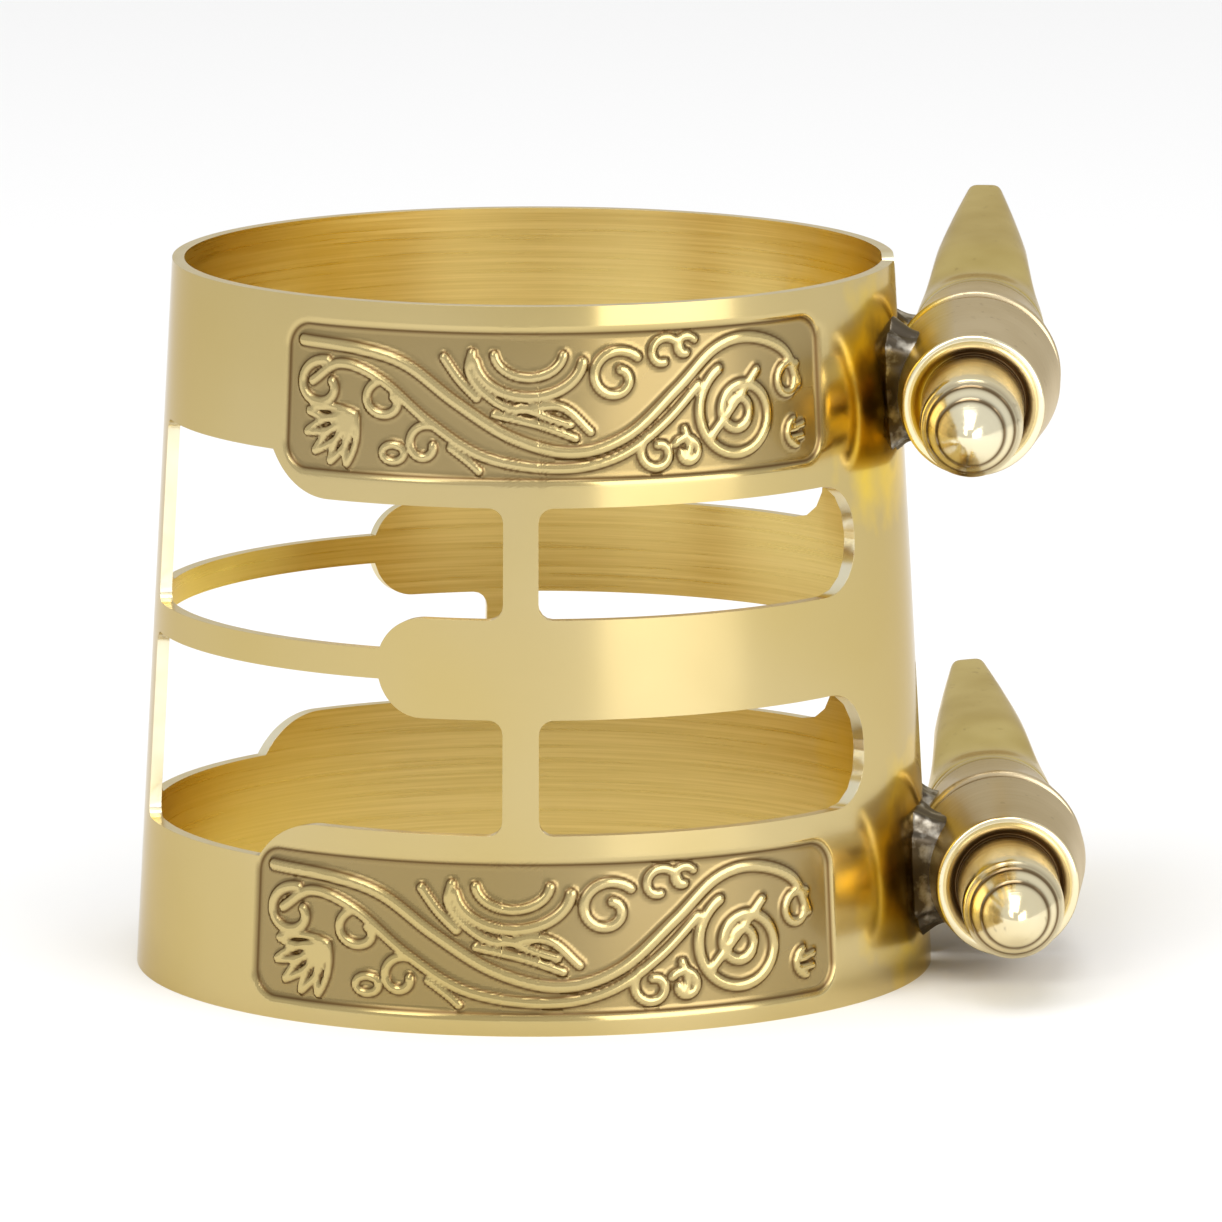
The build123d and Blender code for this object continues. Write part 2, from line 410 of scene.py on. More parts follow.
# Where the panels lie: first and last angle in degrees, lower and upper edge in millimetres.
PANELS = ((41.0, 133.0, 20.25, 25.85), (43.0, 135.6, 0.65, 6.45))


def line_height(along, up):
    """0 on the ground to 1 on a line: an S curve of the distance to the nearest curve over its width."""
    top = np.zeros(along.shape)
    for width, line in vine:
        low, high = line.min(0) - 2 * width, line.max(0) + 2 * width
        near = (along > low[0]) & (along < high[0]) & (up > low[1]) & (up < high[1])
        points = np.stack([along[near], up[near]], axis=1)
        step = line[1:] - line[:-1]
        share = ((points[:, None] - line[:-1]) * step).sum(2) / np.maximum((step**2).sum(1), TINY)
        foot = line[:-1] + np.clip(share, 0, 1)[..., None] * step
        distance = np.sqrt(((points[:, None] - foot) ** 2).sum(2)).min(1)
        top[near] = np.maximum(top[near], smooth_step(LINE_SPREAD - distance / width))
    return top


def panel_inset(along, up):
    """Distance inside the panel's rounded outline, in millimetres; negative outside."""
    x = np.abs(along - PANEL_LENGTH / 2) - PANEL_LENGTH / 2 + PANEL_CORNER
    y = np.abs(up - PANEL_HEIGHT / 2) - PANEL_HEIGHT / 2 + PANEL_CORNER
    outside = np.hypot(np.maximum(x, 0), np.maximum(y, 0))
    return PANEL_CORNER - outside - np.minimum(np.maximum(x, y), 0)


def relief(angle, z):
    """Depth of the outer face below the cone, and a mark from 0 (ground) to 1 (plain sheet or line)."""
    depth = np.zeros_like(z)
    mark = np.ones_like(z)
    for start, end, low, high in PANELS:
        along = (end - angle) / (end - start) * PANEL_LENGTH
        up = (z / MM - low) / (high - low) * PANEL_HEIGHT
        inside = smooth_step(panel_inset(along, up) / PANEL_SLOPE)
        lines = np.zeros_like(z)
        panel = inside > 0
        lines[panel] = line_height(along[panel], up[panel])
        depth += RELIEF_DEPTH * inside * (1 - LINE_RISE * lines)
        mark -= inside * (1 - lines)
    return depth, mark


# %% [markdown]
# ## Shared effects for the finishes
# Three small node groups hold what more than one finish uses: fine lines left by brushing or by a lathe
# tool, a slow drift of the lacquer's colour with small specks, and the heat tint that brazing leaves
# beside the barrels, whose darkest part at the seam also carries a painted reflection of the barrel. Each
# puts out only masks and values, so every finish keeps its own shader and its own numbers.

# %% Node group tools
def new_group(name, inputs, outputs):
    """A shader node group with the named sockets, and its input and output nodes."""
    group = bpy.data.node_groups.new(name, "ShaderNodeTree")
    for socket, kind, value in inputs:
        made = group.interface.new_socket(name=socket, in_out="INPUT", socket_type=kind)
        if value is not None:
            made.default_value = value
    for socket, kind in outputs:
        group.interface.new_socket(name=socket, in_out="OUTPUT", socket_type=kind)
    return group, group.nodes.new("NodeGroupInput"), group.nodes.new("NodeGroupOutput")


def set_inputs(tree, node, inputs):
    """Sets a node's inputs to values or links them from sockets, by name, or by number as i0, i1."""
    for key, value in inputs.items():
        socket = node.inputs[int(key[1:]) if re.fullmatch(r"i\d+", key) else key]
        if isinstance(value, bpy.types.NodeSocket):
            tree.links.new(value, socket)
        else:
            socket.default_value = value


def add_node(tree, kind, settings=None, **inputs):
    """A node with its properties and inputs set."""
    node = tree.nodes.new(kind)
    for key, value in (settings or {}).items():
        setattr(node, key, value)
    set_inputs(tree, node, inputs)
    return node


def maths(tree, operation, *values):
    """The result of a Math node on values or sockets."""
    inputs = {f"i{number}": value for number, value in enumerate(values)}
    return add_node(tree, "ShaderNodeMath", {"operation": operation}, **inputs).outputs[0]


def noise(tree, vector, scale, detail, **inputs):
    """The value of a noise texture."""
    return add_node(
        tree, "ShaderNodeTexNoise", Vector=vector, Scale=scale, Detail=detail, **inputs
    ).outputs[0]


def object_place(tree):
    """The place of each point in its object's own frame, in metres."""
    return add_node(tree, "ShaderNodeTexCoord").outputs["Object"]


def blend_colour(tree, share, first, second):
    """Colour between two, by a share from 0 to 1. A Mix node's sockets 0, 6 and 7 are share and colours."""
    mix = add_node(tree, "ShaderNodeMix", {"data_type": "RGBA"}, i0=share, i6=first, i7=second)
    return mix.outputs[2]


def remap(tree, value, low, high, to_low, to_high):
    """A value carried from one range to another, held at the ends."""
    node = add_node(tree, "ShaderNodeMapRange", i1=low, i2=high, i3=to_low, i4=to_high)
    tree.links.new(value, node.inputs[0])
    return node.outputs[0]


# %% Node groups
FLOAT, VECTOR = "NodeSocketFloat", "NodeSocketVector"
SPECK_SCALE = 2600.0
SPECK_RANGE = (0.66, 0.74, 0.0, 1.0)

lines_group, lines_in, lines_out = new_group(
    "Tool lines",
    [("Vector", VECTOR, None), ("Fine", FLOAT, 900.0), ("Stretch", FLOAT, 0.02)],
    [("Lines", FLOAT)],
)
stretched = add_node(lines_group, "ShaderNodeSeparateXYZ", Vector=lines_in.outputs["Vector"])
squeezed = maths(lines_group, "MULTIPLY", stretched.outputs[0], lines_in.outputs["Stretch"])
line_place = add_node(lines_group, "ShaderNodeCombineXYZ", i0=squeezed, i1=stretched.outputs[1])
fine_lines = add_node(
    lines_group, "ShaderNodeTexNoise", {"noise_dimensions": "2D"}, Vector=line_place.outputs[0],
    Scale=lines_in.outputs["Fine"], Detail=3.0, Roughness=0.7,
)
lines_group.links.new(fine_lines.outputs[0], lines_out.inputs["Lines"])

drift_group, drift_in, drift_out = new_group(
    "Lacquer drift", [("Scale", FLOAT, 160.0)], [("Drift", FLOAT), ("Specks", FLOAT)]
)
drift_place = object_place(drift_group)
slow = noise(drift_group, drift_place, drift_in.outputs["Scale"], 2.0)
drift_group.links.new(slow, drift_out.inputs["Drift"])
speck_noise = noise(drift_group, drift_place, SPECK_SCALE, 2.0)
drift_group.links.new(remap(drift_group, speck_noise, *SPECK_RANGE), drift_out.inputs["Specks"])

# %% [markdown]
# The heat tint is a mask by distance from the seam between a barrel and the band: at the seam dark olive
# brown, a painted reflection of the barrel's shaded side, then brown, then amber heat tint that fades into
# clean brass. Two seams are needed, one near each screw's height. A noise makes the edge ragged, and the
# tint fades out towards the back of the band.

# %% Heat tint group
UPPER_HEAT_Z = 22.25 * MM
LOWER_HEAT_Z = 4.1 * MM
POST_LENGTH = 5.1 * MM
POST_END = half_gap + POST_LENGTH
HEAT_SIDE = 4.6 * MM
HEAT_SQUASH = 0.8
HEAT_SCALE = 420.0
HEAT_WOBBLE = (0.3, 0.7, -0.22, 0.22)
HEAT_FRONT = (0.0, 6.0 * MM, 0.0, 1.0)
HEAT_FADE = (0.25, 1.1, 1.0, 0.0)

heat_group, heat_in, heat_out = new_group(
    "Braze heat", [("Reach", FLOAT, 3.7 * MM)], [("Heat", FLOAT)]
)
heat_place = object_place(heat_group)
heat_xyz = add_node(heat_group, "ShaderNodeSeparateXYZ", Vector=heat_place)
wobble = remap(heat_group, noise(heat_group, heat_place, HEAT_SCALE, 3.0), *HEAT_WOBBLE)
sideways = maths(heat_group, "ABSOLUTE", heat_xyz.outputs[1])
past_post = maths(heat_group, "MAXIMUM", maths(heat_group, "SUBTRACT", sideways, HEAT_SIDE), 0.0)
spots = []
for seam_z in (UPPER_HEAT_Z, LOWER_HEAT_Z):
    away = maths(heat_group, "SUBTRACT", heat_xyz.outputs[2], seam_z)
    away = maths(heat_group, "MULTIPLY", away, HEAT_SQUASH)
    offset = add_node(heat_group, "ShaderNodeCombineXYZ", i0=past_post, i1=away)
    distance = add_node(heat_group, "ShaderNodeVectorMath", {"operation": "LENGTH"}, i0=offset.outputs[0])
    spots.append(maths(heat_group, "DIVIDE", distance.outputs["Value"], heat_in.outputs["Reach"]))
ragged = maths(heat_group, "ADD", maths(heat_group, "MINIMUM", *spots), wobble)
front = remap(heat_group, heat_xyz.outputs[0], *HEAT_FRONT)
heat = maths(heat_group, "MULTIPLY", remap(heat_group, ragged, *HEAT_FADE), front)
heat_group.links.new(heat, heat_out.inputs["Heat"])


def tinted(tree, colour, value, ramp, target):
    """A colour blended towards another where a value's ramp says so."""
    return blend_colour(tree, remap(tree, value, *ramp), colour, target)


def use_group(tree, group, **inputs):
    """Places a node group in a material, with its inputs set or linked by name."""
    return add_node(tree, "ShaderNodeGroup", {"node_tree": group}, **inputs)


# %% [markdown]
# ## Brass finishes
# All the metal but the braze is one yellow brass. What differs is how its face was left: the band is
# polished and lacquered outside and brushed round inside, its cut edges are rounded and painted pale as a
# highlight, the barrels are satin from the lathe with a polished nose painted pale as a highlight, the heads
# satin from the press, and the braze is dull grey. Shade is painted darker into the turned pieces' hollows
# and seats, and a reflection of each barrel is painted dark into the band beside it. Lacquer is a thin clear
# coat over the metal.

# %% Metal material tool
BRASS = (0.545, 0.42, 0.165, 1.0)
BRASS_PALE = (0.58, 0.46, 0.215, 1.0)
BRASS_DEEP = (0.12, 0.062, 0.016, 1.0)
AMBER = (0.85, 0.60, 0.06, 1.0)
# Dark olive brown: on the band it is a painted reflection of the barrel's shaded side at the seam.
SEAM_BROWN = (0.26, 0.18, 0.075, 1.0)
EDGE_TINT = (0.80, 0.72, 0.56, 1.0)
COAT_ROUGHNESS = 0.06


def metal(name, roughness, coat=0.0):
    """A material with a metallic Principled BSDF, its tree and its shader."""
    material = bpy.data.materials.new(name)
    material.use_nodes = True
    tree = material.node_tree
    shader = tree.nodes["Principled BSDF"]
    set_inputs(tree, shader, {
        "Metallic": 1.0, "Roughness": roughness, "Specular Tint": EDGE_TINT,
        "Coat Weight": coat, "Coat Roughness": COAT_ROUGHNESS,
    })
    return material, tree, shader


def bump(tree, shader, height, strength, distance):
    """Tilts the shader's normal by a height field."""
    node = add_node(tree, "ShaderNodeBump", Strength=strength, Distance=distance, Height=height)
    tree.links.new(node.outputs[0], shader.inputs["Normal"])


# %% Polished outside of the band
# Four numbers are a ramp: the range of the value that comes in, then what its two ends become.
DRIFT_RAMP = (0.35, 0.65, 0.0, 1.0)
GROUND_FOOT = (0.0, 0.35, 0.52, 1.0)
GROUND_TOP = (0.45, 0.95, 0.95, 0.0)
WARM_RAMP = (0.02, 0.55, 0.0, 0.95)
SEAM_REFLECTION_RAMP = (0.62, 1.0, 0.0, 0.95)
GLOSS_RAMP = (0.3, 0.7, 0.12, 0.20)
GROUND_ROUGHNESS = 0.22
WAVE_SCALE = 230.0

polished, tree, shader = metal("Polished lacquered brass", 0.16, 0.22)
drift = use_group(tree, drift_group, Scale=90.0)
colour = tinted(tree, BRASS, drift.outputs["Drift"], DRIFT_RAMP, BRASS_PALE)
mark = add_node(tree, "ShaderNodeAttribute", {"attribute_name": "relief"})
foot = remap(tree, mark.outputs["Fac"], *GROUND_FOOT)
top = remap(tree, mark.outputs["Fac"], *GROUND_TOP)
ground = maths(tree, "MULTIPLY", foot, top)
colour = blend_colour(tree, ground, colour, BRASS_DEEP)
heat = use_group(tree, heat_group)
colour = tinted(tree, colour, heat.outputs["Heat"], WARM_RAMP, AMBER)
# Painted reflection: nearest the seam the band turns dark olive brown, standing in for the barrel's shaded
# side mirrored in it.
colour = tinted(tree, colour, heat.outputs["Heat"], SEAM_REFLECTION_RAMP, SEAM_BROWN)
tree.links.new(colour, shader.inputs["Base Color"])
gloss = remap(tree, drift.outputs["Drift"], *GLOSS_RAMP)
rough = maths(tree, "MULTIPLY_ADD", ground, GROUND_ROUGHNESS, gloss)
tree.links.new(rough, shader.inputs["Roughness"])
waviness = noise(tree, object_place(tree), WAVE_SCALE, 2.0)
bump(tree, shader, waviness, 0.12, 0.05 * MM)

# %% Brushed inside of the band
BRUSH_DARK = (0.66, 0.50, 0.165, 1.0)
BRUSH_PALE = (0.78, 0.61, 0.235, 1.0)
BRUSH_RAMP = (0.35, 0.65, 0.0, 1.0)
BRUSH_GLOSS = (0.3, 0.7, 0.26, 0.36)
INSIDE_WARM = (0.0, 0.8, 0.0, 0.8)
BACK_WARM = (-5 * MM, -13 * MM, 0.0, 0.55)

brushed, tree, shader = metal("Brushed brass", 0.34)
sheet_place = add_node(tree, "ShaderNodeUVMap", {"uv_map": "Sheet"})
brushing = use_group(tree, lines_group, Vector=sheet_place.outputs[0], Fine=5200.0, Stretch=0.012)
colour = tinted(tree, BRUSH_DARK, brushing.outputs["Lines"], BRUSH_RAMP, BRUSH_PALE)
heat = use_group(tree, heat_group, Reach=4.5 * MM)
colour = tinted(tree, colour, heat.outputs["Heat"], INSIDE_WARM, AMBER)
inside_place = add_node(tree, "ShaderNodeSeparateXYZ", Vector=object_place(tree))
colour = tinted(tree, colour, inside_place.outputs[0], BACK_WARM, AMBER)
tree.links.new(colour, shader.inputs["Base Color"])
rough = remap(tree, brushing.outputs["Lines"], *BRUSH_GLOSS)
tree.links.new(rough, shader.inputs["Roughness"])
bump(tree, shader, brushing.outputs["Lines"], 0.12, 0.02 * MM)

# %% Cut edges with a painted highlight
# The cut edges are painted far paler than the brass, as the highlight that their rounded edges catch; the
# drift only varies how pale.
EDGE_HIGHLIGHT_LOW = (0.80, 0.70, 0.42, 1.0)
EDGE_HIGHLIGHT_HIGH = (0.97, 0.92, 0.74, 1.0)

cut_edge_highlight, tree, shader = metal("Cut edge with painted highlight", 0.2)
drift = use_group(tree, drift_group, Scale=700.0)
colour = blend_colour(tree, drift.outputs["Drift"], EDGE_HIGHLIGHT_LOW, EDGE_HIGHLIGHT_HIGH)
tree.links.new(colour, shader.inputs["Base Color"])
bump(tree, shader, drift.outputs["Drift"], 0.15, 0.03 * MM)

# %% Turned and satin finishes
TINT_START = 14.6 * MM
TINT_END = 15.7 * MM
TURNED_DRIFT = (0.3, 0.7, 0.0, 1.0)
SPECK_SHARE = (0, 1, 0, 0.25)
# How dark the painted shade on turned pieces gets: nearly full deep brass where the stored mark is 0.
PAINTED_SHADE_SHARE = (0, 1, 0.92, 0)


def turned_metal(name, pale, deep, low_rough, high_rough, fine, depth, tint=0.0):
    """Brass with the rings of a lathe tool: fine lines across the piece's own map, which runs along its axis.

    tint is how far the side next to the band has turned amber from the brazing torch.
    """
    material, tree, shader = metal(name, (low_rough + high_rough) / 2, 0.1)
    place = add_node(tree, "ShaderNodeUVMap", {"uv_map": "Sheet"})
    rings = use_group(tree, lines_group, Vector=place.outputs[0], Fine=fine, Stretch=0.01)
    drift = use_group(tree, drift_group, Scale=300.0)
    share = remap(tree, drift.outputs["Drift"], *TURNED_DRIFT)
    colour = blend_colour(tree, share, deep, pale)
    colour = tinted(tree, colour, drift.outputs["Specks"], SPECK_SHARE, BRASS_DEEP)
    # Painted shade: the stored mark darkens inward corners and the seat between a collar and its barrel.
    painted_shade = add_node(tree, "ShaderNodeAttribute", {"attribute_name": "relief"})
    colour = tinted(tree, colour, painted_shade.outputs["Fac"], PAINTED_SHADE_SHARE, BRASS_DEEP)
    where = add_node(tree, "ShaderNodeSeparateXYZ", Vector=object_place(tree))
    near_band = remap(tree, where.outputs[0], TINT_START, TINT_END, tint, 0.0)
    colour = blend_colour(tree, near_band, colour, AMBER)
    colour = blend_colour(tree, maths(tree, "MULTIPLY", near_band, share), colour, SEAM_BROWN)
    tree.links.new(colour, shader.inputs["Base Color"])
    gloss = remap(tree, rings.outputs["Lines"], 0.3, 0.7, low_rough, high_rough)
    tree.links.new(gloss, shader.inputs["Roughness"])
    bump(tree, shader, rings.outputs["Lines"], depth, 0.03 * MM)
    return material


satin_barrel = turned_metal(
    "Satin turned barrel", pale=(0.66, 0.55, 0.36, 1), deep=(0.55, 0.44, 0.26, 1),
    low_rough=0.30, high_rough=0.42, fine=4200.0, depth=0.3, tint=0.9,
)
# The nose's pale, nearly white colour is a painted highlight; its low roughness is the real polish of the
# lathe.
nose_highlight_finish = turned_metal(
    "Turned nose with painted highlight", pale=(0.95, 0.87, 0.62, 1), deep=(0.88, 0.76, 0.47, 1),
    low_rough=0.13, high_rough=0.24, fine=5200.0, depth=0.25,
)
satin_head = turned_metal(
    "Satin pressed head", pale=(0.76, 0.62, 0.26, 1), deep=(0.56, 0.43, 0.14, 1),
    low_rough=0.16, high_rough=0.26, fine=900.0, depth=0.05,
)

# %% Dull braze
BRAZE_DARK = (0.11, 0.09, 0.065, 1.0)
BRAZE_PALE = (0.55, 0.51, 0.43, 1.0)
LUMP_SCALE = 1500.0
LUMP_RAMP = (0.50, 0.72, 0.0, 1.0)

braze_metal, tree, shader = metal("Dull silver braze", 0.38)
lumps = noise(tree, object_place(tree), LUMP_SCALE, 4.0)
colour = tinted(tree, BRAZE_DARK, lumps, LUMP_RAMP, BRAZE_PALE)
tree.links.new(colour, shader.inputs["Base Color"])
bump(tree, shader, lumps, 0.4, 0.06 * MM)

# %% [markdown]
# ## The band
# Each half of the band is one closed shell: the outer face with its relief on a fine grid, the inner face
# on every second point of it, and five-cornered faces round every edge that join the two. A small bevel
# rounds the cut edges. The half with the nut posts stays still.

# %% Rows of the grid and the shell of one half
# Blocks of rows lie between the six edge heights. The windows are in the second and the fourth.
BLOCK_ROWS = (72, 16, 14, 16, 72)
WINDOW_BLOCKS = (1, 3)


def row_places():
    """For each row, the block that it lies in and its share of that block's height."""
    block = np.concatenate([np.full(rows, number) for number, rows in enumerate(BLOCK_ROWS)]
                           + [[len(BLOCK_ROWS) - 1]])
    share = np.concatenate([np.arange(rows) / rows for rows in BLOCK_ROWS] + [[1.0]])
    return block, share


def boundary(kept, axis):
    """Cells beside every grid line across an axis: kept before it only, and kept after it only."""
    pad = [(1, 1) if a == axis else (0, 0) for a in range(2)]
    full = np.pad(kept, pad)
    before = full[:-1] if axis == 0 else full[:, :-1]
    after = full[1:] if axis == 0 else full[:, 1:]
    return before & ~after, after & ~before


def band_half(name, side):
    """One half of the band. side is -1 for the nut posts' half and 1 for the thumb heads' half.

    A point at angle a and height z lies at (r cos a, r sin a, z). r is the cone's radius less the relief.
    """
    lean = -side * pattern_turn
    gap_angle = degrees_for(half_gap) + lean
    angle = columns_from(gap_angle)
    block, share = row_places()
    edges = np.stack(edge_heights(angle, gap_angle))
    z = edges[block].T + (edges[block + 1] - edges[block]).T * share
    gap_true = np.degrees(np.arcsin(half_gap / radius_at(z))) + lean
    ease = np.clip((spine_angle - angle) / (spine_angle - gap_angle), 0, 1)[:, None]
    turned = angle[:, None] + (gap_true - gap_angle) * ease
    depth, mark = relief(turned, z)
    turn = np.radians(side * (turned - lean))
    outer_radius = radius_at(z) - depth
    inner_radius = radius_at(z) - sheet
    outer = np.stack([outer_radius * np.cos(turn), outer_radius * np.sin(turn), z], axis=2)
    inner = np.stack([inner_radius * np.cos(turn), inner_radius * np.sin(turn), z], axis=2)[::2, ::2]

    columns, rows = z.shape
    coarse_columns, coarse_rows = inner.shape[:2]
    middle = (angle[:-1:2] + angle[2::2]) / 2
    open_column = np.zeros(len(middle), bool)
    for start, end, *_ in windows:
        open_column |= (middle > start) & (middle < end)
    kept = ~(open_column[:, None] & np.isin(block[:-1:2], WINDOW_BLOCKS))

    first_inner = columns * rows
    outer_quads = grid_faces(columns, rows)[np.repeat(np.repeat(kept, 2, 0), 2, 1).ravel()]
    inner_quads = grid_faces(coarse_columns, coarse_rows)[kept.ravel()][:, ::-1] + first_inner

    def outer_at(i, j):
        return i * rows + j

    def inner_at(i, j):
        return first_inner + i * coarse_rows + j

    rims = []
    for axis, along in ((0, (0, 1)), (1, (1, 0))):
        for kept_side, cells in enumerate(boundary(kept, axis)):
            i, j = np.nonzero(cells)
            a = outer_at(2 * i, 2 * j)
            b = outer_at(2 * i + along[0], 2 * j + along[1])
            c = outer_at(2 * i + 2 * along[0], 2 * j + 2 * along[1])
            rim = np.stack([a, b, c, inner_at(i + along[0], j + along[1]), inner_at(i, j)], axis=1)
            forward = (axis == 0) == (kept_side == 1)
            rims.append(rim if forward else rim[:, ::-1])
    rims = np.concatenate(rims)

    polygons = [*outer_quads.tolist(), *inner_quads.tolist(), *rims.tolist()]
    if side < 0:
        polygons = [polygon[::-1] for polygon in polygons]
    slots = np.repeat([0, 1, 2], [len(outer_quads), len(inner_quads), len(rims)])
    points = np.concatenate([outer.reshape(-1, 3), inner.reshape(-1, 3)])
    marks = np.concatenate([mark.ravel(), np.ones(inner.shape[0] * inner.shape[1])])
    around = np.radians(turned) * radius_at(height / 2)
    flat = np.stack([around, z], axis=2)
    flats = np.concatenate([flat.reshape(-1, 2), flat[::2, ::2].reshape(-1, 2)])
    used = np.unique(np.concatenate([outer_quads.ravel(), inner_quads.ravel(), rims.ravel()]))
    renumber = np.zeros(len(points), int)
    renumber[used] = np.arange(len(used))
    polygons = [renumber[polygon].tolist() for polygon in polygons]
    piece = mesh_piece(name, points[used], polygons, (polished, brushed, cut_edge_highlight), slots)
    set_mark(piece, marks[used])
    set_map(piece, flats[used])
    return piece


EDGE_WIDTH = 0.07 * MM
SHARP_DEGREES = 60


def round_edges(piece):
    """Rounds every sharp edge with a small live bevel."""
    bevel = piece.modifiers.new("Rounded edges", "BEVEL")
    bevel.width = EDGE_WIDTH
    bevel.segments = 2
    bevel.limit_method = "ANGLE"
    bevel.angle_limit = math.radians(SHARP_DEGREES)
    bevel.harden_normals = True


nut_half = band_half("band_nut_side", -1)
thumb_half = band_half("band_thumb_side", 1)
for piece in (nut_half, thumb_half):
    round_edges(piece)
    print(piece.name, len(piece.data.polygons), "faces")
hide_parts("band")
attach(nut_half, "band_side")
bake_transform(thumb_half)

# %% [markdown]
# ## Turned barrels
# The barrels are lathe work, so each is one profile carried round its screw's axis. The nut post ends in
# a dished face and a bullet-shaped nose with two fine tool rings. Where a barrel sinks into the band, its
# points are moved out to the middle of the sheet, so it ends inside the metal as a saddle would.

# %% Sizes of the barrels and axes of the screws
POST_RADIUS = 3.2 * MM
POST_END_RADIUS = 2.65 * MM
THREAD_RADIUS = 1.25 * MM
BORE_RADIUS = 1.35 * MM
NUT_BORE_RADIUS = 1.38 * MM
NOSE_RADIUS = 1.9 * MM
NOSE_LENGTH = 4.2 * MM
TIP_LENGTH = 2.1 * MM
BORE_DEPTH = 9.0 * MM
RIM_WIDTH = 0.4 * MM
DISH_DEPTH = 0.5 * MM
TURN_POINTS = 96
# Painted shade on the turned pieces: its reach in an inward corner, how dark it gets there, and its reach
# from a seat.
HOLLOW_REACH = 0.16 * MM
HOLLOW_DARKNESS = 1.6
SEAM_SHADE = 0.34 * MM


def screw_frame(joint_name):
    """A screw's middle and its three directions: along it to the thumb head, sideways out, and up."""
    joint = next(j for j in frame["joints"] if j["name"] == joint_name)
    along = -np.array(joint["axis"], float)
    along /= np.linalg.norm(along)
    up = np.cross((1, 0, 0), along)
    up /= np.linalg.norm(up)
    return np.array(joint["pos_m"], float), along, np.cross(along, up), up


def rounded_profile(corners, radius, steps=4):
    """A profile with each inner corner replaced by a short quadratic curve, no longer than a radius."""
    corners = np.array(corners, float)
    made = [corners[:1]]
    for before, here, after in zip(corners[:-2], corners[1:-1], corners[2:]):
        back, on = before - here, after - here
        reach = min(radius, 0.45 * np.linalg.norm(back), 0.45 * np.linalg.norm(on))
        first = here + back / np.linalg.norm(back) * reach
        last = here + on / np.linalg.norm(on) * reach
        t = np.linspace(0, 1, steps)[:, None]
        made.append((1 - t) ** 2 * first + 2 * t * (1 - t) * here + t**2 * last)
    made.append(corners[-1:])
    return np.concatenate(made)


def split_long(profile, longest):
    """The same profile with points added, so that no step is longer than a length."""
    runs = []
    for start, end in zip(profile[:-1], profile[1:]):
        count = max(1, math.ceil(np.linalg.norm(end - start) / longest))
        runs.append(start + (end - start) * (np.arange(count) / count)[:, None])
    return np.concatenate(runs + [profile[-1:]])


def lathe(place, profile, closed):
    """Points of a profile (distance along, distance out) turned round a screw's axis, and its quads.

    Row i, column j is: middle + along * a_i + r_i (out cos t_j + up sin t_j).
    """
    middle, along, out, up = place
    turn = 2 * math.pi * np.arange(TURN_POINTS) / TURN_POINTS
    ring = np.cos(turn)[:, None] * out + np.sin(turn)[:, None] * up
    points = middle + profile[:, :1, None] * along + profile[:, 1:, None] * ring
    return points.reshape(-1, 3), grid_faces(len(profile), TURN_POINTS, closed, True)


def run_along(profile):
    """Length along a profile to each of its points."""
    return np.concatenate([[0], np.cumsum(np.linalg.norm(np.diff(profile, axis=0), axis=1))])


def keep_out_of_band(points):
    """Moves points that lie inside the band's middle surface straight out to it, as a saddle cut would."""
    distance = np.hypot(points[:, 0], points[:, 1])
    middle = radius_at(points[:, 2]) - sheet / 2
    push = np.where((distance < middle) & (points[:, 0] > 0), middle / distance, 1)
    return np.column_stack([points[:, 0] * push, points[:, 1] * push, points[:, 2]])


def hollow_shade_mark(profile):
    """1 on open faces, towards 0 where a profile turns inward: shade is painted darker in such corners."""
    length = run_along(profile)
    step = np.diff(profile, axis=0) / np.linalg.norm(np.diff(profile, axis=0), axis=1)[:, None]
    turn = step[:-1, 0] * step[1:, 1] - step[:-1, 1] * step[1:, 0]
    hollow = np.concatenate([[0], np.clip(turn, 0, 1), [0]])
    reach = np.exp(-(((length[:, None] - length[None]) / HOLLOW_REACH) ** 2))
    return 1 - np.clip((reach * hollow[None]).max(axis=1) * HOLLOW_DARKNESS, 0, 1)


def turned_piece(name, place, profile, materials, closed=False):
    """A lathe-turned piece that ends in the band's sheet. Its profile runs along the axis on the outside."""
    points, quads = lathe(place, profile, closed)
    turn = 2 * math.pi * np.arange(TURN_POINTS) / TURN_POINTS
    around = np.tile(turn * POST_RADIUS, len(profile))
    places = np.stack([around, np.repeat(run_along(profile), TURN_POINTS)], axis=1)
    # Painted shade: darker in the profile's inward corners and towards POST_END, where a screw's collar
    # seats.
    mark = hollow_shade_mark(profile) * smooth_step((POST_END - profile[:, 0]) / SEAM_SHADE)
    mark = np.repeat(mark, TURN_POINTS)
    return skin_piece(name, keep_out_of_band(points), quads, materials, places, mark)


upper_place = screw_frame("upper_screw_turn")
lower_place = screw_frame("lower_screw_turn")

# %% Nut posts and plain posts
FACE_SET_BACK = 0.02 * MM
NOSE_POINTS = 70
NOSE_END_RADIUS = 1.72 * MM
NOSE_POWER = 0.58
TOOL_RINGS = (0.10, 0.42)
RING_DEPTH = 0.05 * MM
RING_WIDTH = 0.022
EDGE_ROUNDING = 0.22 * MM
LONGEST_STEP = 0.25 * MM


def nose_profile():
    """The nose from its tip: r = b (1 - s)^0.58 along the bullet, less narrow rings left by the tool."""
    shoulder = -POST_END - NOSE_LENGTH
    share = np.linspace(1, 0, NOSE_POINTS)
    rings = sum(np.exp(-(((share - ring) / RING_WIDTH) ** 2)) for ring in TOOL_RINGS)
    radius = NOSE_END_RADIUS * (1 - share) ** NOSE_POWER - RING_DEPTH * rings * (share < 1)
    return np.stack([shoulder - share * TIP_LENGTH, radius], axis=1)


